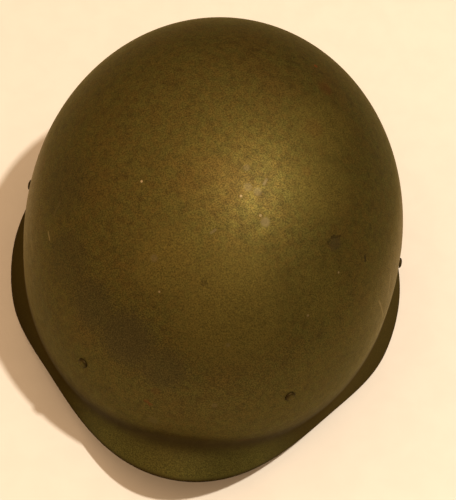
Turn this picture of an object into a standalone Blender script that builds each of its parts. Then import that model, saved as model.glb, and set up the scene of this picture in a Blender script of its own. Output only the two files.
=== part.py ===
# Pressed-steel helmet: a one-piece shell with a short sloping peak and a flared rim,
# and the six round-headed rivets that hold its missing lining.
# Metres, +Z up. The front faces -Y, the rim rests on z = 0 and the origin lies under
# the middle of the shell's length and width.

import math
from collections import namedtuple

import bmesh
import bpy
import numpy as np
from mathutils import Matrix, Vector

MM = 0.001

# Dome: two half ellipses in plan, meeting at the widest points
SHEET_THICKNESS = 1.3 * MM
HALF_WIDTH = 111.0 * MM
FRONT_HALF_LENGTH = 128.5 * MM
REAR_HALF_LENGTH = 119.0 * MM
SHELL_HEIGHT = 172.0 * MM
WIDEST_LEVEL = 51.0 * MM
CROWN_SETBACK = 13.0 * MM

# How full the dome's sections are: 2 is an ellipse, and more is squarer
FRONT_FULLNESS_OUT = 2.12
FRONT_FULLNESS_UP = 2.21
REAR_FULLNESS_OUT = 2.08
REAR_FULLNESS_UP = 2.24

# Rim: how far it stands out from the wall, and the heights of its edge and its root
PEAK_REACH = 18.5 * MM
SIDE_FLARE = 12.0 * MM
NAPE_FLARE = 16.0 * MM
PEAK_EDGE_HEIGHT = 31.3 * MM
PEAK_ROOT_HEIGHT = 43.5 * MM
RIM_ROOT_HEIGHT = 36.0 * MM
ROOT_BLEND = 7.0 * MM
REST_TRIM = 0.3 * MM

# Rivets
RIVET_HEIGHT = 75.0 * MM
RIVET_HEAD_DIAMETER = 6.0 * MM
RIVET_HEAD_RISE = 1.3 * MM
RIVET_HEAD_EDGE = 0.3 * MM
RIVET_SHANK_DIAMETER = 3.2 * MM
RIVET_TAIL_DIAMETER = 5.0 * MM
RIVET_TAIL_RISE = 0.9 * MM
RIVET_TAIL_BEVEL = 0.5 * MM
RIVET_CLEARANCE = 0.3 * MM

# Fineness of the faceted surfaces
COLUMNS_PER_HALF = 30
DOME_ROWS = 16
BLEND_ROWS = 4
RIM_ROWS = 3
RIVET_SIDES = 16
HEAD_ROWS = 4

# The rim from the front (0 degrees) to the nape (180), the same on both sides.
# Each length is a share of the size that it follows.
RimSection = namedtuple("RimSection", "azimuth reach edge root")
RIM_SECTIONS = (
    RimSection(0, 1.00 * PEAK_REACH, 1.00 * PEAK_EDGE_HEIGHT, 1.00 * PEAK_ROOT_HEIGHT),
    RimSection(22, 0.38 * PEAK_REACH, 0.56 * PEAK_EDGE_HEIGHT, 0.84 * PEAK_ROOT_HEIGHT),
    RimSection(45, 0.04 * SIDE_FLARE, 0.40 * PEAK_EDGE_HEIGHT, 0.96 * RIM_ROOT_HEIGHT),
    RimSection(70, 0.63 * SIDE_FLARE, 0.02 * PEAK_EDGE_HEIGHT, 1.07 * RIM_ROOT_HEIGHT),
    RimSection(95, 1.00 * SIDE_FLARE, 0.00 * PEAK_EDGE_HEIGHT, 1.00 * RIM_ROOT_HEIGHT),
    RimSection(140, 0.81 * NAPE_FLARE, 0.03 * PEAK_EDGE_HEIGHT, 0.97 * RIM_ROOT_HEIGHT),
    RimSection(180, 1.00 * NAPE_FLARE, 0.00 * PEAK_EDGE_HEIGHT, 0.97 * RIM_ROOT_HEIGHT),
)

# Rivet places in degrees from the front. Left and right are as seen from the front,
# and right is +X.
RivetPlace = namedtuple("RivetPlace", "name azimuth height")
RIVET_PLACES = (
    RivetPlace("rivet_front_left", -29.5, 0.97 * RIVET_HEIGHT),
    RivetPlace("rivet_front_right", 26, 1.02 * RIVET_HEIGHT),
    RivetPlace("rivet_side_left", -92, 0.93 * RIVET_HEIGHT),
    RivetPlace("rivet_side_right", 84, 0.93 * RIVET_HEIGHT),
    RivetPlace("rivet_rear_left", -152, 0.85 * RIVET_HEIGHT),
    RivetPlace("rivet_rear_right", 148, 0.85 * RIVET_HEIGHT),
)


def clear_scene():
    for obj in list(bpy.data.objects):
        bpy.data.objects.remove(obj, do_unlink=True)


def new_collection(name):
    collection = bpy.data.collections.new(name)
    bpy.context.scene.collection.children.link(collection)
    return collection


def new_object(name, mesh, collection):
    obj = bpy.data.objects.new(name, mesh)
    collection.objects.link(obj)
    return obj


def paint_material(name, color, roughness, metallic):
    material = bpy.data.materials.new(name)
    material.use_nodes = True
    shader = material.node_tree.nodes["Principled BSDF"]
    shader.inputs["Base Color"].default_value = (*color, 1.0)
    shader.inputs["Roughness"].default_value = roughness
    shader.inputs["Metallic"].default_value = metallic
    return material


def spline_bends(knots, values):
    """Second derivatives at the knots of the smooth curve that is level at both ends."""
    count = len(knots)
    step = np.diff(knots)
    slope = np.diff(values) / step
    system = np.zeros((count, count))
    target = np.zeros(count)
    system[0, 0:2] = 2 * step[0], step[0]
    target[0] = 6 * slope[0]
    system[-1, -2:] = step[-1], 2 * step[-1]
    target[-1] = -6 * slope[-1]
    for i in range(1, count - 1):
        system[i, i - 1:i + 2] = step[i - 1], 2 * (step[i - 1] + step[i]), step[i]
        target[i] = 6 * (slope[i] - slope[i - 1])
    return np.linalg.solve(system, target)


def smooth_value(knots, values, bends, at):
    """The smooth curve through the knots' values, read at one place."""
    i = min(int(np.searchsorted(knots, at, side="right")) - 1, len(knots) - 2)
    width = knots[i + 1] - knots[i]
    after = at - knots[i]
    before = knots[i + 1] - at
    bend = (bends[i] * before ** 3 + bends[i + 1] * after ** 3) / (6 * width)
    start = (values[i] / width - bends[i] * width / 6) * before
    end = (values[i + 1] / width - bends[i + 1] * width / 6) * after
    return bend + start + end


RIM_KNOTS = np.radians([section.azimuth for section in RIM_SECTIONS])
RIM_CURVES = {}
for column in ("reach", "edge", "root"):
    lengths = np.array([getattr(section, column) for section in RIM_SECTIONS])
    RIM_CURVES[column] = (lengths, spline_bends(RIM_KNOTS, lengths))


def rim_size(column, azimuth):
    values, bends = RIM_CURVES[column]
    return smooth_value(RIM_KNOTS, values, bends, azimuth)


def length_shift():
    """Moves the shell along Y so that peak and trimmed nape lie equally far from the origin."""
    nape_root = RIM_SECTIONS[-1].root
    front = FRONT_HALF_LENGTH + PEAK_REACH
    rear = REAR_HALF_LENGTH + NAPE_FLARE * nape_root / (nape_root + REST_TRIM)
    return (front - rear) / 2


def plan_radius(azimuth):
    if math.cos(azimuth) > 0:
        half_length = FRONT_HALF_LENGTH
    else:
        half_length = REAR_HALF_LENGTH
    return 1 / math.hypot(math.sin(azimuth) / HALF_WIDTH, math.cos(azimuth) / half_length)


def place(azimuth, radius, setback, height):
    x = radius * math.sin(azimuth)
    y = length_shift() + setback - radius * math.cos(azimuth)
    return Vector((x, y, height))


def fullness(azimuth):
    """Exponents of the dome's section: outwards and upwards."""
    forward = (1 + math.cos(azimuth)) / 2
    out = REAR_FULLNESS_OUT + (FRONT_FULLNESS_OUT - REAR_FULLNESS_OUT) * forward
    up = REAR_FULLNESS_UP + (FRONT_FULLNESS_UP - REAR_FULLNESS_UP) * forward
    return out, up


def dome_point(azimuth, climb):
    """A point on the outer dome. climb runs from 0 at the widest level to a quarter turn at the crown."""
    out, up = fullness(azimuth)
    rise = math.sin(climb) ** (2 / up)
    spread = max(0.0, math.cos(climb)) ** (2 / out)
    height = WIDEST_LEVEL + (SHELL_HEIGHT - WIDEST_LEVEL) * rise
    return place(azimuth, plan_radius(azimuth) * spread, CROWN_SETBACK * rise, height)


def climb_at_height(azimuth, height):
    rise = (height - WIDEST_LEVEL) / (SHELL_HEIGHT - WIDEST_LEVEL)
    up = fullness(azimuth)[1]
    return math.asin(max(0.0, rise) ** (up / 2))


def rim_points(azimuth):
    """The outer surface below the dome: wall, rounded root and straight flare down to the edge."""
    radius = plan_radius(azimuth)
    reach = rim_size("reach", azimuth)
    root = rim_size("root", azimuth)
    drop = root - (rim_size("edge", azimuth) - REST_TRIM)
    length = math.hypot(reach, drop)
    out = reach / length
    down = drop / length
    points = []
    for i in range(BLEND_ROWS + 1):
        s = i / BLEND_ROWS
        outwards = s * s * ROOT_BLEND * out
        above_root = ((1 - s) ** 2 - s * s * down) * ROOT_BLEND
        points.append(place(azimuth, radius + outwards, 0, root + above_root))
    for i in range(1, RIM_ROWS + 1):
        along = ROOT_BLEND + (length - ROOT_BLEND) * i / RIM_ROWS
        points.append(place(azimuth, radius + along * out, 0, root - along * down))
    return points


def half_section(azimuth):
    """The outer section at one azimuth, from just under the crown to the rim's edge."""
    points = []
    for i in range(1, DOME_ROWS + 1):
        climb = math.pi / 2 * (1 - i / DOME_ROWS)
        points.append(dome_point(azimuth, climb))
    points.extend(rim_points(azimuth))
    if azimuth in (0.0, math.pi):
        for point in points:
            point.x = 0.0
    return points


def shell_half_mesh():
    """The outer surface on the +X side, lofted through the sections and open at x = 0."""
    bm = bmesh.new()
    crown = bm.verts.new(dome_point(0.0, math.pi / 2))
    columns = []
    for i in range(COLUMNS_PER_HALF + 1):
        azimuth = math.pi * i / COLUMNS_PER_HALF
        columns.append([bm.verts.new(point) for point in half_section(azimuth)])
    for here, there in zip(columns, columns[1:]):
        bm.faces.new((crown, here[0], there[0]))
        for row in range(len(here) - 1):
            bm.faces.new((here[row], here[row + 1], there[row + 1], there[row]))
    mesh = bpy.data.meshes.new("shell")
    bm.to_mesh(mesh)
    bm.free()
    return mesh


def seat_matrix(spot):
    """Stands a rivet on the outer surface with its own Z axis pointing out of the shell."""
    azimuth = math.radians(spot.azimuth)
    climb = climb_at_height(azimuth, spot.height)
    nudge = 0.001
    origin = dome_point(azimuth, climb)
    sideways = dome_point(azimuth + nudge, climb) - dome_point(azimuth - nudge, climb)
    upwards = dome_point(azimuth, climb + nudge) - dome_point(azimuth, climb - nudge)
    outward = sideways.cross(upwards).normalized()
    turn = outward.to_track_quat("Z", "Y").to_matrix().to_4x4()
    return Matrix.Translation(origin) @ turn


def facet_sag():
    """How far the flat facets may lie inside the true curve, so that a rivet's tail clears them."""
    column_sag = 1 - math.cos(math.pi / COLUMNS_PER_HALF / 2)
    row_sag = 1 - math.cos(math.pi / 2 / DOME_ROWS / 2)
    return FRONT_HALF_LENGTH * (column_sag + row_sag)


def hide_cutter(obj):
    obj.hide_render = True
    obj.display_type = "WIRE"


def rivet_hole_cutter(spot, collection):
    """A pin through the sheet, wider than the rivet's shank by the clearance all round."""
    corner_radius = (RIVET_SHANK_DIAMETER / 2 + RIVET_CLEARANCE) / math.cos(math.pi / RIVET_SIDES)
    bm = bmesh.new()
    bmesh.ops.create_cone(
        bm,
        cap_ends=True,
        segments=RIVET_SIDES,
        radius1=corner_radius,
        radius2=corner_radius,
        depth=8 * SHEET_THICKNESS,
    )
    mesh = bpy.data.meshes.new("hole_for_" + spot.name)
    bm.to_mesh(mesh)
    bm.free()
    obj = new_object("hole_for_" + spot.name, mesh, collection)
    obj.matrix_world = seat_matrix(spot)
    hide_cutter(obj)
    return obj


def ground_cutter(collection):
    """A block under z = 0 that trims the rim flat where it rests."""
    depth = 10 * SHEET_THICKNESS
    span = 4 * (FRONT_HALF_LENGTH + PEAK_REACH)
    bm = bmesh.new()
    bmesh.ops.create_cube(bm, size=1.0)
    bmesh.ops.scale(bm, vec=(span, span, depth), verts=bm.verts)
    bmesh.ops.translate(bm, vec=(0, 0, -depth / 2), verts=bm.verts)
    mesh = bpy.data.meshes.new("ground_trim")
    bm.to_mesh(mesh)
    bm.free()
    obj = new_object("ground_trim", mesh, collection)
    hide_cutter(obj)
    return obj


def cut(obj, cutter):
    modifier = obj.modifiers.new("cut_" + cutter.name, "BOOLEAN")
    modifier.operation = "DIFFERENCE"
    modifier.solver = "EXACT"
    modifier.object = cutter


def build_shell(collection, cutters, material):
    mesh = shell_half_mesh()
    mesh.materials.append(material)
    shell = new_object("shell", mesh, collection)
    mirror = shell.modifiers.new("other_half", "MIRROR")
    mirror.use_axis = (True, False, False)
    mirror.merge_threshold = 0.00001
    wall = shell.modifiers.new("sheet", "SOLIDIFY")
    wall.thickness = SHEET_THICKNESS
    wall.offset = -1.0
    wall.use_even_offset = True
    wall.use_rim = True
    cut(shell, ground_cutter(cutters))
    for spot in RIVET_PLACES:
        cut(shell, rivet_hole_cutter(spot, cutters))
    mesh.shade_smooth()
    mesh.set_sharp_from_angle(angle=math.radians(35))
    return shell


def rivet_profile():
    """Half of the rivet's outline as (radius, height) pairs, from the top of its head to the end of its tail."""
    head_radius = RIVET_HEAD_DIAMETER / 2
    shank_radius = RIVET_SHANK_DIAMETER / 2
    tail_radius = RIVET_TAIL_DIAMETER / 2
    under_head = RIVET_CLEARANCE
    over_tail = -(SHEET_THICKNESS + facet_sag() + RIVET_CLEARANCE)
    points = []
    for i in range(HEAD_ROWS + 1):
        turn = math.pi / 2 * i / HEAD_ROWS
        height = under_head + RIVET_HEAD_EDGE + (RIVET_HEAD_RISE - RIVET_HEAD_EDGE) * math.cos(turn)
        points.append((head_radius * math.sin(turn), height))
    points.append((head_radius, under_head))
    points.append((shank_radius, under_head))
    points.append((shank_radius, over_tail))
    points.append((tail_radius, over_tail))
    points.append((tail_radius - RIVET_TAIL_BEVEL, over_tail - RIVET_TAIL_RISE))
    points.append((0.0, over_tail - RIVET_TAIL_RISE))
    return points


def build_rivet(spot, collection, material):
    bm = bmesh.new()
    profile = [bm.verts.new((radius, 0, height)) for radius, height in rivet_profile()]
    for upper, lower in zip(profile, profile[1:]):
        bm.edges.new((upper, lower))
    mesh = bpy.data.meshes.new(spot.name)
    bm.to_mesh(mesh)
    bm.free()
    mesh.materials.append(material)
    rivet = new_object(spot.name, mesh, collection)
    rivet.matrix_world = seat_matrix(spot)
    turned = rivet.modifiers.new("turned", "SCREW")
    turned.axis = "Z"
    turned.steps = RIVET_SIDES
    turned.render_steps = RIVET_SIDES
    turned.use_merge_vertices = True
    turned.merge_threshold = 0.00001
    turned.use_smooth_shade = True
    return rivet


def main():
    clear_scene()
    parts = new_collection("steel_helmet")
    cutters = new_collection("cutters")
    shell_paint = paint_material("olive_shell_paint", (0.075, 0.060, 0.018), 0.42, 0.0)
    rivet_paint = paint_material("olive_rivet_paint", (0.062, 0.050, 0.016), 0.45, 0.0)
    build_shell(parts, cutters, shell_paint)
    for spot in RIVET_PLACES:
        build_rivet(spot, parts, rivet_paint)


main()
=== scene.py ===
import math

import bmesh
import bpy
import numpy as np
from mathutils import Matrix, Vector, kdtree


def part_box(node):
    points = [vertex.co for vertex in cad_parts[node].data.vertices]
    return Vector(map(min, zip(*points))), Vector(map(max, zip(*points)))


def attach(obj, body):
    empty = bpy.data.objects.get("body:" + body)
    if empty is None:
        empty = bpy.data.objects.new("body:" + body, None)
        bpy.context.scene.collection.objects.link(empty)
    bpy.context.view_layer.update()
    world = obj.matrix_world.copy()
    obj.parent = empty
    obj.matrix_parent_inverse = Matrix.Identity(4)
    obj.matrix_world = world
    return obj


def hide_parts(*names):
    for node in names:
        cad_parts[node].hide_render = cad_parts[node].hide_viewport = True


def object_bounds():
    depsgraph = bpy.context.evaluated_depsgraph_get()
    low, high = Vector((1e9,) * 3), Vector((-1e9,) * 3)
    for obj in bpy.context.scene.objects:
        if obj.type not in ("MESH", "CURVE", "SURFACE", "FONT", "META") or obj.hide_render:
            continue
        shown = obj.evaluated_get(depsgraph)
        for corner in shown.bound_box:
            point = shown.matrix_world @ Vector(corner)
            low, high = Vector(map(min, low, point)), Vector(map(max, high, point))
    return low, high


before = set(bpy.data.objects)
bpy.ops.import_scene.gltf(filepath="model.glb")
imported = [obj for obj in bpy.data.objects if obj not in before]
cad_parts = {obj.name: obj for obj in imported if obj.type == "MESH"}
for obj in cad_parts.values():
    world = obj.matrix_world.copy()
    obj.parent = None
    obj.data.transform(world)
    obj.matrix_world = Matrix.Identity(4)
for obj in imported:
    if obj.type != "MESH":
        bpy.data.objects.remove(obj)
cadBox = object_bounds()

# A pressed-steel helmet in worn olive paint on a pale table, seen from above its peak.
# Lengths are metres and mm stands for one. The peak points to -Y, the rim rests on z = 0.

mm = 0.001


# Small helpers for working as by hand

def deselectAll():
    if bpy.context.object and bpy.context.object.mode != "OBJECT":
        bpy.ops.object.mode_set(mode="OBJECT")
    bpy.ops.object.select_all(action="DESELECT")


def pickOnly(piece):
    deselectAll()
    piece.select_set(True)
    bpy.context.view_layer.objects.active = piece


# edit mode with nothing selected, and the mesh to pick from
def openMesh(piece, mode="VERT"):
    pickOnly(piece)
    bpy.ops.object.mode_set(mode="EDIT")
    bpy.ops.mesh.select_mode(type=mode)
    bpy.ops.mesh.select_all(action="DESELECT")
    return bmesh.from_edit_mesh(piece.data)


def leaveMesh(piece):
    bmesh.update_edit_mesh(piece.data)
    bpy.ops.object.mode_set(mode="OBJECT")


def applyModifier(piece, kind, **values):
    pickOnly(piece)
    modifier = piece.modifiers.new(kind.lower(), kind)
    for name, value in values.items():
        setattr(modifier, name, value)
    bpy.ops.object.modifier_apply(modifier=modifier.name)


def smoothByAngle(piece, degrees):
    pickOnly(piece)
    bpy.ops.object.shade_smooth_by_angle(angle=math.radians(degrees))


# The camera, at the photograph's angle

photoView = {
    "width": 456,            # pixels
    "height": 500,
    "focalPixels": 1405.8,
    "distance": 0.800,
    "turn": -1.92,           # degrees to the helmet's side
    "tilt": 59.61,           # degrees above the table
    "roll": 10.13,           # degrees; it turns the peak to the lower left
    "target": (9.5 * mm, -17.9 * mm, 80.0 * mm),
    "sensor": 36.0,          # millimetres along the frame's long side
    "nearest": 0.01,
}


# the camera's place, and its right, up and backward directions
def cameraFrame():
    turn = math.radians(photoView["turn"])
    tilt = math.radians(photoView["tilt"])
    roll = math.radians(photoView["roll"])
    back = Vector((math.sin(turn) * math.cos(tilt), -math.cos(turn) * math.cos(tilt), math.sin(tilt)))
    level = Vector((0, 0, 1)).cross(back).normalized()
    upright = back.cross(level)
    right = level * math.cos(roll) + upright * math.sin(roll)
    up = upright * math.cos(roll) - level * math.sin(roll)
    place = Vector(photoView["target"]) + back * photoView["distance"]
    return place, right, up, back


def addCamera():
    place, right, up, back = cameraFrame()
    data = bpy.data.cameras.new("photoCamera")
    data.sensor_width = photoView["sensor"]
    data.lens = photoView["focalPixels"] * photoView["sensor"] / photoView["height"]
    data.clip_start = photoView["nearest"]
    camera = bpy.data.objects.new("photoCamera", data)
    bpy.context.collection.objects.link(camera)
    camera.matrix_world = Matrix.Translation(place) @ Matrix((right, up, back)).transposed().to_4x4()
    bpy.context.scene.camera = camera


# where the line of sight through one pixel meets a piece, and how wide a pixel is there
def pointAtPixel(piece, x, y):
    place, right, up, back = cameraFrame()
    across = (x - photoView["width"] / 2) / photoView["focalPixels"]
    down = (y - photoView["height"] / 2) / photoView["focalPixels"]
    sight = (right * across - up * down - back).normalized()
    hit, point, normal, face = piece.ray_cast(place, sight)
    if not hit:
        raise ValueError("no surface under pixel %s, %s" % (x, y))
    return point, (point - place).length / photoView["focalPixels"]


# The shell: dome, upright wall, rounded root and flared rim in one sheet

shellForm = {
    "sheet": 1.3 * mm,
    "halfWidth": 111.0 * mm,
    "frontHalfLength": 128.5 * mm,
    "rearHalfLength": 119.0 * mm,
    "height": 172.0 * mm,
    "widestLevel": 51.0 * mm,
    "crownSetback": 13.0 * mm,
    "frontFullness": (2.12, 2.21),   # outwards and upwards; 2 is an ellipse
    "rearFullness": (2.08, 2.24),
    "peakReach": 18.5 * mm,
    "sideFlare": 12.0 * mm,
    "napeFlare": 16.0 * mm,
    "peakEdge": 31.3 * mm,           # height above the table
    "peakRoot": 43.5 * mm,
    "rimRoot": 36.0 * mm,
    "rootBlend": 7.0 * mm,
    "restTrim": 0.3 * mm,            # what the table side of the rim is flattened by
    "columns": 288,
    "domeRows": 80,
    "blendRows": 8,
    "rimRows": 12,
    "edgeRounding": 0.28 * mm,
    "edgeSegments": 3,
    "edgeSharpness": 50,             # degrees between faces, from which an edge is rounded
    "smoothAngle": 35,               # degrees up to which faces are shaded as one curve
    "cutThreshold": 0.001 * mm,
    "footFacing": 0.99,              # how squarely a face of the foot looks down
    "footSlack": 0.01 * mm,
    "creaseReach": 6.0 * mm,         # how far painted shade lies round the crease over the rim
    "creaseLift": 0.25,              # the crease lies this share of rootBlend above the root
    "edgeReach": 8.0 * mm,           # how far painted shade darkens the paint along the cut edge
    # the rim's painted shade, by degrees from the peak and by height over the crease
    "brimStart": 16.0,
    "brimEnd": 42.0,
    "brimTop": 2.0 * mm,
    "brimFull": -4.0 * mm,
    "brimLitShare": 0.25,              # how much less painted shade it has on the right, where the lamp falls, between these widths
    "litStart": 60.0 * mm,
    "litEnd": 105.0 * mm,
    # the wall's paler paint, a painted reflection of the pale table, by height, by height over the
    # crease and by degrees from the peak
    "wallTop": 122.0 * mm,
    "wallFoot": 84.0 * mm,
    "wallOverCrease": (-1.0 * mm, 4.0 * mm),
    "wallStart": 44.0,
    "wallEnd": 95.0,
    "wallTurn": 3.0,                 # degrees nearer the peak on the right
    "wallFront": 0.09,               # what is left of it in front
    # both fade out between these degrees, towards the nape
    "backStart": 105.0,
    "backEnd": 150.0,
}

# Rim sections from the front round to the nape:
# degrees, reach beyond the wall, height of the edge, height of the root
rimSections = (
    (0, 1.00 * shellForm["peakReach"], 1.00 * shellForm["peakEdge"], 1.00 * shellForm["peakRoot"]),
    (22, 0.38 * shellForm["peakReach"], 0.56 * shellForm["peakEdge"], 0.84 * shellForm["peakRoot"]),
    (45, 0.04 * shellForm["sideFlare"], 0.40 * shellForm["peakEdge"], 0.96 * shellForm["rimRoot"]),
    (70, 0.63 * shellForm["sideFlare"], 0.02 * shellForm["peakEdge"], 1.07 * shellForm["rimRoot"]),
    (95, 1.00 * shellForm["sideFlare"], 0.00, 1.00 * shellForm["rimRoot"]),
    (140, 0.81 * shellForm["napeFlare"], 0.03 * shellForm["peakEdge"], 0.97 * shellForm["rimRoot"]),
    (180, 1.00 * shellForm["napeFlare"], 0.00, 0.97 * shellForm["rimRoot"]),
)


# a smooth curve round the helmet through the sections' values, level at front and nape
def curveThrough(column):
    x = np.radians([section[0] for section in rimSections])
    values = [section[column] for section in rimSections]
    step = np.diff(x)
    slope = np.diff(values) / step
    count = len(x)
    system = np.zeros((count, count))
    target = np.zeros(count)
    system[0, 0:2] = 2 * step[0], step[0]
    system[-1, -2:] = step[-1], 2 * step[-1]
    target[0] = 6 * slope[0]
    target[-1] = -6 * slope[-1]
    for i in range(1, count - 1):
        system[i, i - 1:i + 2] = step[i - 1], 2 * (step[i - 1] + step[i]), step[i]
        target[i] = 6 * (slope[i] - slope[i - 1])
    bend = np.linalg.solve(system, target)

    def read(azimuth):
        at = abs(azimuth)
        i = min(int(np.searchsorted(x, at, side="right")) - 1, count - 2)
        after, before, wide = at - x[i], x[i + 1] - at, step[i]
        bow = (bend[i] * before ** 3 + bend[i + 1] * after ** 3) / (6 * wide)
        left = (values[i] / wide - bend[i] * wide / 6) * before
        return bow + left + (values[i + 1] / wide - bend[i + 1] * wide / 6) * after

    return read


rimReach = curveThrough(1)
rimEdge = curveThrough(2)
rimRoot = curveThrough(3)


# the peak and the trimmed nape lie equally far from the origin
def lengthShift():
    napeRoot = rimSections[-1][3]
    front = shellForm["frontHalfLength"] + shellForm["peakReach"]
    napeReach = shellForm["napeFlare"] * napeRoot / (napeRoot + shellForm["restTrim"])
    return (front - shellForm["rearHalfLength"] - napeReach) / 2


def planRadius(azimuth):
    length = shellForm["frontHalfLength"] if math.cos(azimuth) > 0 else shellForm["rearHalfLength"]
    return 1 / math.hypot(math.sin(azimuth) / shellForm["halfWidth"], math.cos(azimuth) / length)


def domePoint(azimuth, climb):
    forward = (1 + math.cos(azimuth)) / 2
    both = zip(shellForm["frontFullness"], shellForm["rearFullness"])
    out, up = (rear + (front - rear) * forward for front, rear in both)
    rise = math.sin(climb) ** (2 / up)
    radius = planRadius(azimuth) * max(0.0, math.cos(climb)) ** (2 / out)
    return Vector((
        radius * math.sin(azimuth),
        lengthShift() + shellForm["crownSetback"] * rise - radius * math.cos(azimuth),
        shellForm["widestLevel"] + (shellForm["height"] - shellForm["widestLevel"]) * rise,
    ))


# the outer surface below the dome, row by row down to the edge
def rimPoints(azimuth):
    reach, root = rimReach(azimuth), rimRoot(azimuth)
    drop = root - rimEdge(azimuth) + shellForm["restTrim"]
    length = math.hypot(reach, drop)
    out, down = reach / length, drop / length
    blend = shellForm["rootBlend"]
    spots = []
    for i in range(shellForm["blendRows"] + 1):
        s = i / shellForm["blendRows"]
        spots.append((s * s * blend * out, root + ((1 - s) ** 2 - s * s * down) * blend))
    for i in range(1, shellForm["rimRows"] + 1):
        along = blend + (length - blend) * i / shellForm["rimRows"]
        spots.append((along * out, root - along * down))
    across, forward = math.sin(azimuth), math.cos(azimuth)
    rings = [(planRadius(azimuth) + beyond, height) for beyond, height in spots]
    return [Vector((ring * across, lengthShift() - ring * forward, height)) for ring, height in rings]


def columnOf(x, y):
    return round(math.degrees(math.atan2(x, -y)) * shellForm["columns"] / 360) % shellForm["columns"]


# a sphere's upper half, drawn out into the dome, and the wall and rim extruded from its foot
def modelOuterSurface():
    belowEquator = -0.001
    deselectAll()
    bpy.ops.mesh.primitive_uv_sphere_add(
        segments=shellForm["columns"], ring_count=2 * shellForm["domeRows"], radius=1.0)
    shell = bpy.context.object
    shell.name = "helmet_shell"
    shell.data.name = "helmet_shell"
    mesh = openMesh(shell)
    for vert in mesh.verts:
        vert.select = vert.co.z < belowEquator
    bpy.ops.mesh.delete(type="VERT")

    mesh = bmesh.from_edit_mesh(shell.data)
    for vert in mesh.verts:
        azimuth = math.atan2(vert.co.x, -vert.co.y)
        vert.co = domePoint(azimuth, math.asin(max(0.0, min(1.0, vert.co.z))))
    for edge in mesh.edges:
        edge.select = edge.is_boundary
    bmesh.update_edit_mesh(shell.data)

    turn = 2 * math.pi / shellForm["columns"]
    columns = [rimPoints(math.remainder(i * turn, 2 * math.pi)) for i in range(shellForm["columns"])]
    shift = lengthShift()
    for row in range(len(columns[0])):
        bpy.ops.mesh.extrude_edges_move()
        mesh = bmesh.from_edit_mesh(shell.data)
        for vert in mesh.verts:
            if vert.select:
                vert.co = columns[columnOf(vert.co.x, vert.co.y - shift)][row]
        bmesh.update_edit_mesh(shell.data)
    bpy.ops.mesh.select_all(action="SELECT")
    bpy.ops.mesh.normals_make_consistent(inside=False)
    leaveMesh(shell)
    return shell


# The rivets: a low domed head outside, a shank through the sheet and a set tail inside

rivetForm = {
    "headDiameter": 6.0 * mm,
    "headRise": 1.1 * mm,
    "headEdge": 0.3 * mm,
    "underHead": 0.15 * mm,          # clearance to the painted sheet
    "shankDiameter": 3.2 * mm,
    "tailDiameter": 5.0 * mm,
    "tailRise": 0.9 * mm,
    "tailBevel": 0.3 * mm,
    "tailClearance": 0.3 * mm,
    "holeClearance": 0.3 * mm,
    "sides": 48,
    "headRows": 8,
    "pressDepth": 0.35 * mm,         # how far the sheet is pulled in round a set rivet
    "pressRadius": 4.5 * mm,
    "pressEnd": 3.0,                 # a share of pressRadius, like the next two
    "finerWithin": (3.0, 1.8),       # the faces are cut once within each
    "drillDepth": 8.0 * mm,
    "headBevel": 0.1 * mm,
    "tailLean": 0.1,                 # how far the tail's side leans in, as a share of tailBevel
    "tailSide": 1 / 3,               # how deep its upright side is, as a share of tailRise
    "smoothAngle": 40,               # degrees
    "headShade": (0.45, 0.95),        # shares of the head's radius between which painted shade thickens
    "shadeReach": 2.0 * mm,           # painted shade on the sheet round each head
}

rivetNodes = tuple(sorted(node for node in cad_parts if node.startswith("rivet_")))


# where each rivet sits on the outer surface, and the way it points
def findSeats(shell):
    seats = {}
    for node in rivetNodes:
        low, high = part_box(node)
        middle = (Vector(low) + Vector(high)) / 2
        found, point, normal, face = shell.closest_point_on_mesh(middle)
        seats[node] = (point.copy(), normal.copy())
    return seats


# finer faces round each rivet, pulled in as the set rivet pulls the sheet
def pressSeats(shell, seats):
    for reach in rivetForm["finerWithin"]:
        mesh = openMesh(shell)
        for point, normal in seats.values():
            for vert in mesh.verts:
                if (vert.co - point).length < reach * rivetForm["pressRadius"]:
                    vert.select = True
        mesh.select_flush(True)
        bpy.ops.mesh.subdivide(number_cuts=1, smoothness=1.0)
        leaveMesh(shell)
    mesh = openMesh(shell)
    for point, normal in seats.values():
        for vert in mesh.verts:
            away = (vert.co - point).length / rivetForm["pressRadius"]
            if away < rivetForm["pressEnd"]:
                vert.co -= normal * rivetForm["pressDepth"] * math.exp(-away * away)
    leaveMesh(shell)


# the shell's paints, in the order of its slots
paintSlots = ("outer", "inner", "edge")
innerSlot = paintSlots.index("inner")
edgeSlot = paintSlots.index("edge")


def giveWall(shell):
    for look in paintSlots:
        shell.data.materials.append(bpy.data.materials.new("helmet_" + look))
    applyModifier(
        shell, "SOLIDIFY", thickness=shellForm["sheet"], offset=-1, use_even_offset=True,
        use_rim=True, material_offset=innerSlot, material_offset_rim=edgeSlot)
    openMesh(shell, "EDGE")
    bpy.ops.mesh.edges_select_sharp(sharpness=math.radians(shellForm["edgeSharpness"]))
    bpy.ops.mesh.bevel(
        offset=shellForm["edgeRounding"], segments=shellForm["edgeSegments"], material=edgeSlot)
    leaveMesh(shell)


# the rim's lowest stretches are flat where they rest
def flattenFoot(shell):
    openMesh(shell)
    bpy.ops.mesh.select_all(action="SELECT")
    bpy.ops.mesh.bisect(
        plane_co=(0, 0, 0), plane_no=(0, 0, 1), use_fill=True, clear_inner=True,
        threshold=shellForm["cutThreshold"])
    leaveMesh(shell)
    for face in shell.data.polygons:
        if face.normal.z < -shellForm["footFacing"] and abs(face.center.z) < shellForm["footSlack"]:
            face.material_index = edgeSlot


# the finer curve bulges a tenth of a millimetre past the coarser one that it stands for
def keepInBox(shell):
    width = 2 * min(cadBox[1].x, -cadBox[0].x)
    openMesh(shell)
    bpy.ops.mesh.select_all(action="SELECT")
    bpy.ops.transform.resize(value=(width / shell.dimensions.x, 1, 1), center_override=(0, 0, 0))
    leaveMesh(shell)


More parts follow.
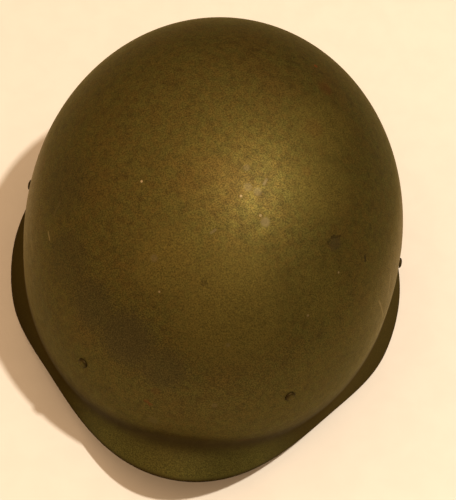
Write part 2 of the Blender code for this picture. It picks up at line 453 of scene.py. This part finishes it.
def drillHoles(shell, seats):
    cutters = []
    holeRadius = rivetForm["shankDiameter"] / 2 + rivetForm["holeClearance"]
    for point, normal in seats.values():
        deselectAll()
        bpy.ops.mesh.primitive_cylinder_add(
            vertices=rivetForm["sides"], radius=holeRadius, depth=rivetForm["drillDepth"],
            location=point, rotation=normal.to_track_quat("Z", "Y").to_euler())
        cutters.append(bpy.context.object)
    pickOnly(cutters[0])
    for cutter in cutters:
        cutter.select_set(True)
    bpy.ops.object.join()
    cutter = bpy.context.object
    applyModifier(shell, "BOOLEAN", operation="DIFFERENCE", object=cutter, solver="EXACT")
    bpy.data.objects.remove(cutter)


# a value that climbs smoothly from 0 to 1 as x goes from start to end, which may be the smaller
def climbing(x, start, end):
    share = max(0.0, min(1.0, (x - start) / (end - start)))
    return share * share * (3 - 2 * share)


def addMask(piece, name, values):
    mask = piece.data.attributes.new(name, "FLOAT", "POINT")
    mask.data.foreach_set("value", values)


# where painted shade darkens the paint, by the cut edge, along the crease and round the rivets, and
# where it differs, on the peak, on the rim darkened by painted shade and on the wall paled by a painted
# reflection of the table
def markPlaces(shell, seats):
    mesh = shell.data
    form = shellForm
    edgeFaces = [face for face in mesh.polygons if face.material_index == edgeSlot]
    corners = sorted({index for face in edgeFaces for index in face.vertices})
    tree = kdtree.KDTree(len(corners))
    for index in corners:
        tree.insert(mesh.vertices[index].co, index)
    tree.balance()
    headRadius = rivetForm["headDiameter"] / 2
    masks = {name: [] for name in ("edgeNear", "creaseNear", "rivetNear", "brim", "peak", "wall")}
    for vert in mesh.vertices:
        place = vert.co
        azimuth = math.atan2(place.x, lengthShift() - place.y)
        turned = math.degrees(azimuth)
        above = place.z - rimRoot(azimuth) - form["rootBlend"] * form["creaseLift"]
        masks["edgeNear"].append(max(0.0, 1 - tree.find(place)[2] / form["edgeReach"]))
        masks["creaseNear"].append(math.exp(-(above / form["creaseReach"]) ** 2))
        away = min((place - point).length for point, normal in seats.values()) - headRadius
        masks["rivetNear"].append(max(0.0, min(1.0, 1 - away / rivetForm["shadeReach"])))

        # the rim's painted shade, lighter on the lit right
        aside = climbing(abs(turned), form["brimStart"], form["brimEnd"])
        behind = climbing(abs(turned), form["backEnd"], form["backStart"])
        below = climbing(above, form["brimTop"], form["brimFull"])
        litSide = form["brimLitShare"] * climbing(place.x, form["litStart"], form["litEnd"])
        masks["brim"].append(aside * behind * below * (1 - litSide))
        masks["peak"].append((1 - aside) * below)

        # the wall's painted reflection of the pale table
        side = climbing(abs(turned + form["wallTurn"]), form["wallStart"], form["wallEnd"])
        share = side + (1 - side) * form["wallFront"]
        overCrease = climbing(above, *form["wallOverCrease"])
        underTop = climbing(place.z, form["wallTop"], form["wallFoot"])
        masks["wall"].append(behind * share * overCrease * underTop)
    for name, values in masks.items():
        addMask(shell, name, values)


def modelShell():
    shell = modelOuterSurface()
    print("outer surface:", len(shell.data.polygons), "faces")
    seats = findSeats(shell)
    pressSeats(shell, seats)
    giveWall(shell)
    flattenFoot(shell)
    keepInBox(shell)
    drillHoles(shell, seats)
    smoothByAngle(shell, shellForm["smoothAngle"])
    markPlaces(shell, seats)
    return shell, seats


# one rivet from a circle that is scaled and extruded ring by ring, standing on its seat
def modelRivet(node, point, normal):
    form = rivetForm
    headRadius, shankRadius = form["headDiameter"] / 2, form["shankDiameter"] / 2
    tailRadius = form["tailDiameter"] / 2
    base = form["underHead"] - form["pressDepth"]
    underTail = -shellForm["sheet"] - form["pressDepth"] - form["tailClearance"]
    foot = underTail - form["tailRise"]
    rings = [
        (tailRadius - form["tailBevel"], foot),
        (tailRadius - form["tailLean"] * form["tailBevel"], foot + form["tailBevel"]),
        (tailRadius, underTail - form["tailRise"] * form["tailSide"]),
        (tailRadius, underTail),
        (shankRadius, underTail),
        (shankRadius, base),
        (headRadius - form["headBevel"], base),
        (headRadius, base + form["headBevel"]),
        (headRadius, base + form["headEdge"]),
    ]
    for i in range(1, form["headRows"]):
        turn = math.pi / 2 * i / form["headRows"]
        dome = (form["headRise"] + form["pressDepth"] - form["headEdge"]) * math.sin(turn)
        rings.append((headRadius * math.cos(turn), base + form["headEdge"] + dome))
    deselectAll()
    firstRadius, firstHeight = rings[0]
    bpy.ops.mesh.primitive_circle_add(
        vertices=form["sides"], radius=firstRadius, location=(0, 0, firstHeight), fill_type="NGON")
    rivet = bpy.context.object
    rivet.name = node + "_set"
    rivet.data.name = rivet.name
    bpy.ops.object.transform_apply(location=True, rotation=True, scale=True)
    openMesh(rivet)
    bpy.ops.mesh.select_all(action="SELECT")
    radius, height = firstRadius, firstHeight
    for nextRadius, nextHeight in rings[1:]:
        bpy.ops.mesh.extrude_region_move(TRANSFORM_OT_translate={"value": (0, 0, nextHeight - height)})
        bpy.ops.transform.resize(
            value=(nextRadius / radius, nextRadius / radius, 1), center_override=(0, 0, nextHeight))
        radius, height = nextRadius, nextHeight
    bpy.ops.mesh.select_all(action="SELECT")
    bpy.ops.mesh.normals_make_consistent(inside=False)
    leaveMesh(rivet)
    smoothByAngle(rivet, form["smoothAngle"])
    # painted shade on the head, thickening towards its foot at the sheet
    spread = [vert.co.xy.length / headRadius for vert in rivet.data.vertices]
    addMask(rivet, "creaseNear", [climbing(share, *form["headShade"]) for share in spread])
    stand = normal.to_track_quat("Z", "Y").to_matrix().to_4x4()
    rivet.data.transform(Matrix.Translation(point) @ stand)
    return rivet


# Shader building: nodes and groups by name

def addNode(tree, kind, inputs=None, **settings):
    node = tree.nodes.new("ShaderNode" + kind)
    for name, value in settings.items():
        setattr(node, name, value)
    for name, value in (inputs or {}).items():
        if isinstance(value, bpy.types.NodeSocket):
            tree.links.new(value, node.inputs[name])
        else:
            node.inputs[name].default_value = value
    return node


def compute(tree, operation, first, second=0.0, clamp=False):
    return addNode(tree, "Math", {0: first, 1: second}, operation=operation, use_clamp=clamp).outputs[0]


def between(tree, value, low, high, start=0.0, end=1.0):
    inputs = {"Value": value, "From Min": low, "From Max": high, "To Min": start, "To Max": end}
    return addNode(tree, "MapRange", inputs, interpolation_type="SMOOTHSTEP").outputs["Result"]


def blendColors(tree, amount, first, second, how="MIX"):
    node = addNode(tree, "Mix", data_type="RGBA", blend_type=how)
    for socket, value in (("Factor_Float", amount), ("A_Color", first), ("B_Color", second)):
        target = next(s for s in node.inputs if s.identifier == socket)
        if isinstance(value, bpy.types.NodeSocket):
            tree.links.new(value, target)
        elif socket == "Factor_Float":
            target.default_value = value
        else:
            target.default_value = (*value, 1.0)
    return next(s for s in node.outputs if s.identifier == "Result_Color")


def combineVectors(tree, operation, first, second):
    return addNode(tree, "VectorMath", {0: first, 1: second}, operation=operation)


def newGroup(name, inputs, outputs):
    tree = bpy.data.node_groups.new(name, "ShaderNodeTree")
    for label, kind in inputs:
        tree.interface.new_socket(name=label, in_out="INPUT", socket_type="NodeSocket" + kind)
    for label, kind in outputs:
        tree.interface.new_socket(name=label, in_out="OUTPUT", socket_type="NodeSocket" + kind)
    return tree, tree.nodes.new("NodeGroupInput"), tree.nodes.new("NodeGroupOutput")


def useGroup(tree, name, inputs):
    node = tree.nodes.new("ShaderNodeGroup")
    node.node_tree = bpy.data.node_groups[name]
    for label, value in inputs.items():
        if isinstance(value, bpy.types.NodeSocket):
            tree.links.new(value, node.inputs[label])
        else:
            node.inputs[label].default_value = value
    return node


groupForm = {
    "grainDetail": 3.0,
    "grainRoughness": 0.65,
    "grainHeight": 0.6,              # of the fine grain in the height, beside the whole ripple
    "rippleDetail": 1.0,
    "rippleRoughness": 0.5,
    "patchDetail": 3.0,
    "patchRoughness": 0.55,
    "patchDistortion": 0.3,
    "roundFade": (0.6, 1.25),        # a mark fades between these shares of its radius
    "lineFade": (0.5, 1.2),          # and a scratch between these shares of its width
    "shadeBreak": 0.9,
    "shadeFade": (0.72, 1.05),
}


def noiseOf(tree, given, size, detail, roughness, distortion=0.0):
    return addNode(tree, "TexNoise", {
        "Vector": given.outputs["Vector"], "Scale": compute(tree, "DIVIDE", 1.0, given.outputs[size]),
        "Detail": detail, "Roughness": roughness, "Distortion": distortion}).outputs["Fac"]


# fine grain of sprayed paint: a value round 0.5, and a height for the bump
def makeGrainGroup():
    tree, given, out = newGroup(
        "paintGrain", [("Vector", "Vector"), ("Grain", "Float"), ("Ripple", "Float")],
        [("Value", "Float"), ("Height", "Float")])
    fine = noiseOf(tree, given, "Grain", groupForm["grainDetail"], groupForm["grainRoughness"])
    broad = noiseOf(tree, given, "Ripple", groupForm["rippleDetail"], groupForm["rippleRoughness"])
    tree.links.new(fine, out.inputs["Value"])
    height = compute(tree, "ADD", compute(tree, "MULTIPLY", fine, groupForm["grainHeight"]), broad)
    tree.links.new(height, out.inputs["Height"])


# soft patches of one colour in another
def makePatchGroup():
    tree, given, out = newGroup(
        "softPatches", [("Vector", "Vector"), ("Size", "Float"), ("Low", "Float"), ("High", "Float")],
        [("Mask", "Float")])
    cloud = noiseOf(
        tree, given, "Size", groupForm["patchDetail"], groupForm["patchRoughness"],
        groupForm["patchDistortion"])
    mask = between(tree, cloud, given.outputs["Low"], given.outputs["High"])
    tree.links.new(mask, out.inputs["Mask"])


# full inside, gone outside, with an edge that the grain makes ragged
def fadeMark(tree, given, out, share, fade):
    ragged = compute(tree, "ADD", share, given.outputs["Ragged"])
    tree.links.new(between(tree, ragged, *fade, 1.0, 0.0), out.inputs["Mask"])


# a round chip, fleck or stain
def makeRoundMarkGroup():
    tree, given, out = newGroup(
        "roundMark",
        [("Vector", "Vector"), ("Centre", "Vector"), ("Radius", "Float"), ("Ragged", "Float")],
        [("Mask", "Float")])
    gap = combineVectors(tree, "DISTANCE", given.outputs["Vector"], given.outputs["Centre"])
    share = compute(tree, "DIVIDE", gap.outputs["Value"], given.outputs["Radius"])
    fadeMark(tree, given, out, share, groupForm["roundFade"])


# a scratch from a start along a run
def makeLineMarkGroup():
    tree, given, out = newGroup(
        "lineMark",
        [("Vector", "Vector"), ("Start", "Vector"), ("Run", "Vector"), ("Width", "Float"),
         ("Ragged", "Float")],
        [("Mask", "Float")])
    run = given.outputs["Run"]
    away = combineVectors(tree, "SUBTRACT", given.outputs["Vector"], given.outputs["Start"])
    toward = combineVectors(tree, "DOT_PRODUCT", away.outputs["Vector"], run)
    square = combineVectors(tree, "DOT_PRODUCT", run, run)
    along = compute(tree, "DIVIDE", toward.outputs["Value"], square.outputs["Value"], clamp=True)
    foot = addNode(tree, "VectorMath", {0: run, "Scale": along}, operation="SCALE")
    gap = combineVectors(tree, "DISTANCE", away.outputs["Vector"], foot.outputs["Vector"])
    share = compute(tree, "DIVIDE", gap.outputs["Value"], given.outputs["Width"])
    fadeMark(tree, given, out, share, groupForm["lineFade"])


# painted shade near an edge, along the cut edge and round the rivet heads, broken up by a mask or the
# grain
def makeEdgeShadingGroup():
    tree, given, out = newGroup(
        "edgeShading", [("Near", "Float"), ("Break", "Float"), ("Amount", "Float")], [("Mask", "Float")])
    uneven = compute(tree, "SUBTRACT", given.outputs["Break"], 0.5)
    broken = compute(tree, "MULTIPLY", uneven, groupForm["shadeBreak"])
    edge = between(tree, compute(tree, "ADD", given.outputs["Near"], broken), *groupForm["shadeFade"])
    mask = compute(tree, "MULTIPLY", edge, given.outputs["Amount"], clamp=True)
    tree.links.new(mask, out.inputs["Mask"])


def makeGroups():
    makeGrainGroup()
    makePatchGroup()
    makeRoundMarkGroup()
    makeLineMarkGroup()
    makeEdgeShadingGroup()


# a point's place in millimetres, which the groups take
def readPlace(tree):
    place = addNode(tree, "TexCoord").outputs["Object"]
    scaled = addNode(tree, "Mapping", {"Vector": place, "Scale": (1 / mm, 1 / mm, 1 / mm)})
    return scaled.outputs["Vector"]


def patchMask(tree, vector, size, edges):
    low, high = edges
    patches = useGroup(tree, "softPatches", {"Vector": vector, "Size": size, "Low": low, "High": high})
    return patches.outputs["Mask"]


def shadeNearMask(tree, near, broken, amount):
    edgeShade = useGroup(tree, "edgeShading", {"Near": near, "Break": broken, "Amount": amount})
    return edgeShade.outputs["Mask"]


# The paints: lengths in millimetres, colours linear

outerPaint = {
    "brown": (0.0720, 0.0530, 0.0116),
    "green": (0.0665, 0.0575, 0.0126),
    "red": (0.079, 0.0460, 0.0106),
    "peak": (0.063, 0.0600, 0.0140),
    # painted shade on the rim
    "brim": (0.033, 0.0255, 0.0085),
    # a painted reflection of the pale table on the wall
    "wall": (0.142, 0.103, 0.038),
    # painted shade: the thin dark line along the cut edge
    "edgeShade": (0.015, 0.006, 0.0018),
    # the blotches' dirt, and also the painted shade in the crease and round the rivet heads
    "grimeAndShade": (0.026, 0.0165, 0.0044),
    "patch": 26.0,                   # sizes, and the noise values between which each grows
    "patchEdges": (0.38, 0.62),
    "speck": 4.0,
    "speckEdges": (0.4, 0.6),
    "speckShare": 0.7,
    "redPatch": 34.0,
    "redEdges": (0.52, 0.75),
    "redShare": 0.4,
    "blotch": 4.5,
    "blotchEdges": (0.42, 0.8),
    "blotchShare": 0.45,
    "apart": (137.0, -61.0, 29.0),   # so that specks, reds and blotches differ from the patches
    "peakShare": 0.7,
    "grain": 0.7,
    "grainEdges": (0.3, 0.7),
    "grainContrast": 0.45,
    "ripple": 5.0,
    "roughness": (0.50, 0.62),       # on the heights' tops and in their hollows
    "heights": (0.5, 1.2),
    "brimRoughness": 0.9,
    "metallic": 0.82,
    "wallMetallic": 0.52,
    "specular": 0.4,
    "specularTint": (0.45, 0.47, 0.13),
    "coat": 0.05,
    "coatRoughness": 0.45,
    "sheen": 0.03,
    "sheenRoughness": 0.4,
    "sheenTint": (1.0, 0.62, 0.24),
    "bump": 0.16,
    "bumpDepth": 0.1,
    # how much painted shade darkens the paint along the cut edge
    "edgeShadeAmount": 0.9,
    # how much painted shade darkens the crease
    "creaseShade": 0.9,
    # how much painted shade darkens the sheet round each rivet head
    "rivetShade": 0.8,
}
innerPaint = dict(
    outerPaint, brown=(0.085, 0.062, 0.0180), green=(0.078, 0.068, 0.0220), roughness=(0.62, 0.72),
    metallic=0.2, grainContrast=0.8, bump=0.3, edgeShadeAmount=0.35)
# the cut edge's own faces are painted dark as painted shade under the rim
edgePaint = dict(
    outerPaint, brown=(0.014, 0.0085, 0.0026), green=(0.017, 0.012, 0.0034), roughness=(0.7, 0.8),
    metallic=0.9, coat=0.0, edgeShadeAmount=0.3)
rivetPaint = dict(
    outerPaint, brown=(0.075, 0.053, 0.0130), green=(0.068, 0.058, 0.0150), patch=5.0, blotch=2.0,
    grain=0.6, creaseShade=0.95)

# broad painted light (pale) and painted shade under the grain, and the marks over it
shadeColors = {
    "pale": (0.090, 0.0715, 0.0155),
    "paintedShade": (0.0465, 0.0370, 0.0125),
}
markColors = {
    "fleck": (0.32, 0.25, 0.14),
    "chip": (0.100, 0.082, 0.038),
    "dust": (0.104, 0.083, 0.038),
    "shade": (0.040, 0.030, 0.014),
    "dark": (0.010, 0.005, 0.0025),
    "red": (0.115, 0.020, 0.006),
    "orange": (0.22, 0.045, 0.008),
}

# Marks in the outer paint, at the photograph's pixels
# round ones: colour, x, y, radius, strength
roundMarks = (
    # painted light, spreading the highlight and brightening the lit right
    ("pale", 235.0, 312.0, 62.0, 0.65),
    ("pale", 168.0, 262.0, 38.0, 0.50),
    ("pale", 315.0, 292.0, 34.0, 0.45),
    ("pale", 325.0, 125.0, 36.0, 0.55),
    ("pale", 325.0, 188.0, 36.0, 0.55),
    # painted shade, darker and greyer on the shaded left
    ("paintedShade", 66.0, 185.0, 36.0, 0.40),
    ("paintedShade", 68.0, 258.0, 32.0, 0.50),
    ("paintedShade", 92.0, 305.0, 30.0, 0.70),
    ("paintedShade", 126.0, 339.0, 34.0, 0.85),
    ("paintedShade", 162.0, 369.0, 28.0, 0.60),
    ("fleck", 141.6, 181.3, 1.3, 1.00),
    ("fleck", 241.0, 196.0, 1.4, 0.45),
    ("fleck", 260.5, 215.5, 1.5, 0.35),
    ("fleck", 159.3, 291.8, 1.2, 0.45),
    ("fleck", 338.6, 272.5, 1.2, 0.45),
    ("fleck", 307.9, 315.4, 1.4, 0.30),
    ("chip", 265.3, 222.0, 5.0, 0.75),
    ("dust", 257.5, 191.5, 4.5, 0.50),
    ("dust", 248.0, 187.0, 4.5, 0.45),
    ("dust", 246.5, 167.5, 3.5, 0.40),
    ("dust", 154.0, 258.0, 4.0, 0.45),
    ("dust", 214.4, 405.6, 3.2, 0.50),
    ("dust", 228.0, 345.0, 2.4, 0.40),
    ("dust", 153.0, 420.0, 6.0, 0.35),
    ("dark", 204.0, 283.3, 3.6, 0.35),
    ("shade", 335.0, 243.5, 8.0, 0.60),
    ("red", 325.0, 88.0, 9.0, 0.18),
    ("red", 314.0, 127.0, 11.0, 0.10),
    ("red", 307.0, 171.0, 5.5, 0.10),
    ("orange", 315.8, 66.0, 2.2, 0.55),
    ("red", 155.0, 391.0, 5.0, 0.15),
    ("red", 42.0, 165.0, 10.0, 0.10),
)
# straight ones: colour, from x, y to x, y, width, strength
lineMarks = (
    ("fleck", 48.2, 232.0, 49.7, 239.8, 1.1, 0.40),
    ("fleck", 379.0, 301.0, 383.0, 316.0, 1.5, 0.35),
    ("fleck", 391.0, 272.0, 388.0, 294.0, 1.3, 0.30),
    ("fleck", 378.5, 325.0, 375.5, 336.0, 1.3, 0.25),
    ("fleck", 26.5, 234.0, 27.2, 243.0, 1.3, 0.30),
    ("fleck", 30.8, 240.0, 32.4, 251.0, 1.2, 0.20),
    ("fleck", 378.0, 117.0, 384.0, 134.0, 1.1, 0.22),
    ("dust", 211.0, 233.0, 215.5, 229.8, 1.4, 0.60),
    ("dust", 54.0, 215.0, 60.0, 202.0, 1.6, 0.35),
    ("dust", 264.0, 184.0, 266.5, 179.5, 1.6, 0.80),
    ("dark", 327.8, 243.0, 331.5, 237.5, 1.8, 0.30),
    ("dark", 331.5, 237.3, 340.0, 235.8, 1.8, 0.45),
    ("dark", 365.0, 255.5, 365.3, 261.0, 1.7, 0.70),
    ("red", 144.8, 400.6, 151.8, 404.6, 1.5, 0.45),
    ("red", 147.5, 399.8, 150.0, 406.0, 1.1, 0.35),
    ("red", 239.0, 440.4, 251.0, 439.6, 2.0, 0.20),
)


# all marks of one colour as one mask
def markMask(tree, shell, vector, ragged, color):
    masks = []
    for name, x, y, radius, strength in roundMarks:
        if name == color:
            point, pixel = pointAtPixel(shell, x, y)
            mark = useGroup(tree, "roundMark", {
                "Vector": vector, "Centre": point / mm, "Radius": radius * pixel / mm, "Ragged": ragged})
            masks.append(compute(tree, "MULTIPLY", mark.outputs["Mask"], strength))
    for name, x, y, endX, endY, width, strength in lineMarks:
        if name == color:
            start, pixel = pointAtPixel(shell, x, y)
            end = pointAtPixel(shell, endX, endY)[0]
            mark = useGroup(tree, "lineMark", {
                "Vector": vector, "Start": start / mm, "Run": (end - start) / mm,
                "Width": width * pixel / mm, "Ragged": ragged})
            masks.append(compute(tree, "MULTIPLY", mark.outputs["Mask"], strength))
    whole = masks[0]
    for mask in masks[1:]:
        whole = compute(tree, "MAXIMUM", whole, mask)
    return whole


def readMask(tree, name):
    return addNode(tree, "Attribute", attribute_name=name, attribute_type="GEOMETRY").outputs["Fac"]


# brown mottled with green, redder in places, with small grimy blotches
def mottle(tree, look, vector, apart, blotches):
    patches = compute(
        tree, "MULTIPLY", patchMask(tree, vector, look["patch"], look["patchEdges"]),
        1 - look["speckShare"])
    specks = compute(
        tree, "MULTIPLY", patchMask(tree, apart, look["speck"], look["speckEdges"]), look["speckShare"])
    reds = compute(
        tree, "MULTIPLY", patchMask(tree, apart, look["redPatch"], look["redEdges"]), look["redShare"])
    spots = compute(tree, "MULTIPLY", blotches, look["blotchShare"])
    color = blendColors(tree, compute(tree, "ADD", patches, specks), look["brown"], look["green"])
    color = blendColors(tree, reds, color, look["red"])
    return blendColors(tree, spots, color, look["grimeAndShade"])


def addMarks(tree, shell, vector, ragged, tints, color):
    for name, tint in tints.items():
        color = blendColors(tree, markMask(tree, shell, vector, ragged, name), color, tint)
    return color


# the greener peak, the wall's sides paled by a painted reflection of the table, and the rough rim
# darkened by painted shade
def varyOutside(tree, shader, look, color, rough):
    brim = readMask(tree, "brim")
    wall = readMask(tree, "wall")
    peak = compute(tree, "MULTIPLY", readMask(tree, "peak"), look["peakShare"])
    color = blendColors(tree, peak, color, look["peak"])
    # the wall's pale colour is a painted reflection of the pale table
    color = blendColors(tree, wall, color, look["wall"])
    # the rim's dark colour is painted shade
    color = blendColors(tree, brim, color, look["brim"])
    rough = between(tree, brim, 0.0, 1.0, rough, look["brimRoughness"])
    metallic = between(tree, wall, 0.0, 1.0, look["metallic"], look["wallMetallic"])
    tree.links.new(between(tree, brim, 0.0, 1.0, metallic, 1.0), shader.inputs["Metallic"])
    tree.links.new(between(tree, brim, 0.0, 1.0, look["coat"], 0.0), shader.inputs["Coat Weight"])
    return color, rough


# outside is the shell whose outer paint this is, with its marks and its differing stretches
def buildPaint(material, look, outside=None, onSheet=True):
    material.use_nodes = True
    tree = material.node_tree
    shader = tree.nodes["Principled BSDF"]
    vector = readPlace(tree)
    apart = addNode(tree, "Mapping", {"Vector": vector, "Location": look["apart"]}).outputs["Vector"]
    grain = useGroup(
        tree, "paintGrain", {"Vector": vector, "Grain": look["grain"], "Ripple": look["ripple"]})
    blotches = patchMask(tree, apart, look["blotch"], look["blotchEdges"])
    smooth, coarse = look["roughness"]
    rough = between(tree, grain.outputs["Height"], *look["heights"], coarse, smooth)

    color = mottle(tree, look, vector, apart, blotches)
    if outside:
        ragged = compute(tree, "SUBTRACT", grain.outputs["Value"], 0.5)
        # broad painted light and painted shade
        color = addMarks(tree, outside, vector, ragged, shadeColors, color)
        color, rough = varyOutside(tree, shader, look, color, rough)
    half = look["grainContrast"]
    light = between(tree, grain.outputs["Value"], *look["grainEdges"], 1 - half, 1 + half)
    shade = addNode(tree, "CombineColor", {"Red": light, "Green": light, "Blue": light}).outputs["Color"]
    color = blendColors(tree, 1.0, color, shade, "MULTIPLY")
    if outside:
        color = addMarks(tree, outside, vector, ragged, markColors, color)
    # painted shade in the crease, and on a rivet towards its head's foot
    creaseShadeMask = compute(tree, "MULTIPLY", readMask(tree, "creaseNear"), look["creaseShade"])
    color = blendColors(tree, creaseShadeMask, color, look["grimeAndShade"])
    if onSheet:
        # painted shade along the cut edge
        edgeShade = shadeNearMask(tree, readMask(tree, "edgeNear"), grain.outputs["Value"], look["edgeShadeAmount"])
        color = blendColors(tree, edgeShade, color, look["edgeShade"])
        # painted shade on the sheet round each rivet head
        grimeAndShade = shadeNearMask(tree, readMask(tree, "rivetNear"), blotches, look["rivetShade"])
        color = blendColors(tree, grimeAndShade, color, look["grimeAndShade"])
    tree.links.new(color, shader.inputs["Base Color"])
    tree.links.new(rough, shader.inputs["Roughness"])

    bump = addNode(tree, "Bump", {
        "Strength": look["bump"], "Distance": look["bumpDepth"] * mm, "Height": grain.outputs["Height"]})
    tree.links.new(bump.outputs["Normal"], shader.inputs["Normal"])
    shader.inputs["Metallic"].default_value = look["metallic"]
    shader.inputs["Specular IOR Level"].default_value = look["specular"]
    shader.inputs["Specular Tint"].default_value = (*look["specularTint"], 1.0)
    shader.inputs["Coat Weight"].default_value = look["coat"]
    shader.inputs["Coat Roughness"].default_value = look["coatRoughness"]
    shader.inputs["Sheen Weight"].default_value = look["sheen"]
    shader.inputs["Sheen Roughness"].default_value = look["sheenRoughness"]
    shader.inputs["Sheen Tint"].default_value = (*look["sheenTint"], 1.0)
    return material


# The table, the light and the room's soft glow

roomLook = {
    "tableSize": 6.0,
    "tableCuts": 7,
    "tableColor": (0.63, 0.63, 0.605),
    "tableGrain": 18.0,               # millimetres
    "tableEdges": (0.3, 0.7),
    "tablePaler": 1.03,               # the grain's pale side against its dark side
    "tableRoughness": 0.9,
    "tableSpecular": 0.1,
    "keyTarget": (0.0, 0.0, 0.08),
    "keyTowards": (0.33, -0.06, 1.0),
    "keyDistance": 1.5,
    "keySize": 0.07,
    "keyPower": 25.0,
    "lightColor": (1.0, 0.84, 0.66),
    "glowColor": (1.0, 0.62, 0.34),
    "glowFrom": (-0.40, -0.10, 0.91),
    "glowEdge": 0.15,                 # the glow is lowest where the cosine from glowFrom is this
    "glowLow": 0.10,
    "glowHigh": 1.58,                 # along glowFrom
}


def addTable():
    deselectAll()
    bpy.ops.mesh.primitive_plane_add(size=roomLook["tableSize"], location=(0, 0, 0))
    table = bpy.context.object
    table.name = "table_top"
    openMesh(table)
    bpy.ops.mesh.select_all(action="SELECT")
    bpy.ops.mesh.subdivide(number_cuts=roomLook["tableCuts"])
    leaveMesh(table)
    material = bpy.data.materials.new("pale_table")
    material.use_nodes = True
    tree = material.node_tree
    shader = tree.nodes["Principled BSDF"]
    cloud = patchMask(tree, readPlace(tree), roomLook["tableGrain"], roomLook["tableEdges"])
    paler = tuple(roomLook["tablePaler"] * value for value in roomLook["tableColor"])
    color = blendColors(tree, cloud, roomLook["tableColor"], paler)
    tree.links.new(color, shader.inputs["Base Color"])
    shader.inputs["Roughness"].default_value = roomLook["tableRoughness"]
    shader.inputs["Specular IOR Level"].default_value = roomLook["tableSpecular"]
    table.data.materials.append(material)


def addLight():
    data = bpy.data.lights.new("softKey", "AREA")
    data.shape = "DISK"
    data.size = roomLook["keySize"]
    data.energy = roomLook["keyPower"]
    data.color = roomLook["lightColor"]
    key = bpy.data.objects.new("softKey", data)
    bpy.context.collection.objects.link(key)
    towards = Vector(roomLook["keyTowards"]).normalized()
    key.location = towards * roomLook["keyDistance"] + Vector(roomLook["keyTarget"])
    key.rotation_mode = "QUATERNION"
    key.rotation_quaternion = towards.to_track_quat("Z", "Y")

    world = bpy.data.worlds.new("softRoom")
    bpy.context.scene.world = world
    world.use_nodes = True
    tree = world.node_tree
    background = tree.nodes["Background"]
    background.inputs["Color"].default_value = (*roomLook["glowColor"], 1.0)
    direction = addNode(tree, "TexCoord").outputs["Generated"]
    facing = combineVectors(tree, "DOT_PRODUCT", direction, roomLook["glowFrom"]).outputs["Value"]
    glow = addNode(tree, "MapRange", {
        "Value": facing, "From Min": roomLook["glowEdge"],
        "To Min": roomLook["glowLow"], "To Max": roomLook["glowHigh"]}).outputs["Result"]
    tree.links.new(glow, background.inputs["Strength"])
    bpy.context.scene.view_settings.view_transform = "Standard"


# Everything in order

addCamera()
print("camera placed")
makeGroups()
shell, seats = modelShell()
print("shell:", len(shell.data.polygons), "faces")
buildPaint(bpy.data.materials["helmet_outer"], outerPaint, outside=shell)
buildPaint(bpy.data.materials["helmet_inner"], innerPaint)
buildPaint(bpy.data.materials["helmet_edge"], edgePaint)
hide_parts("shell")
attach(shell, "root")

rivetMaterial = buildPaint(bpy.data.materials.new("helmet_rivet"), rivetPaint, onSheet=False)
for node, (point, normal) in seats.items():
    rivet = modelRivet(node, point, normal)
    rivet.data.materials.append(rivetMaterial)
    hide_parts(node)
    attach(rivet, "root")
print("rivets:", len(seats))

addTable()
addLight()
print("table and light placed")
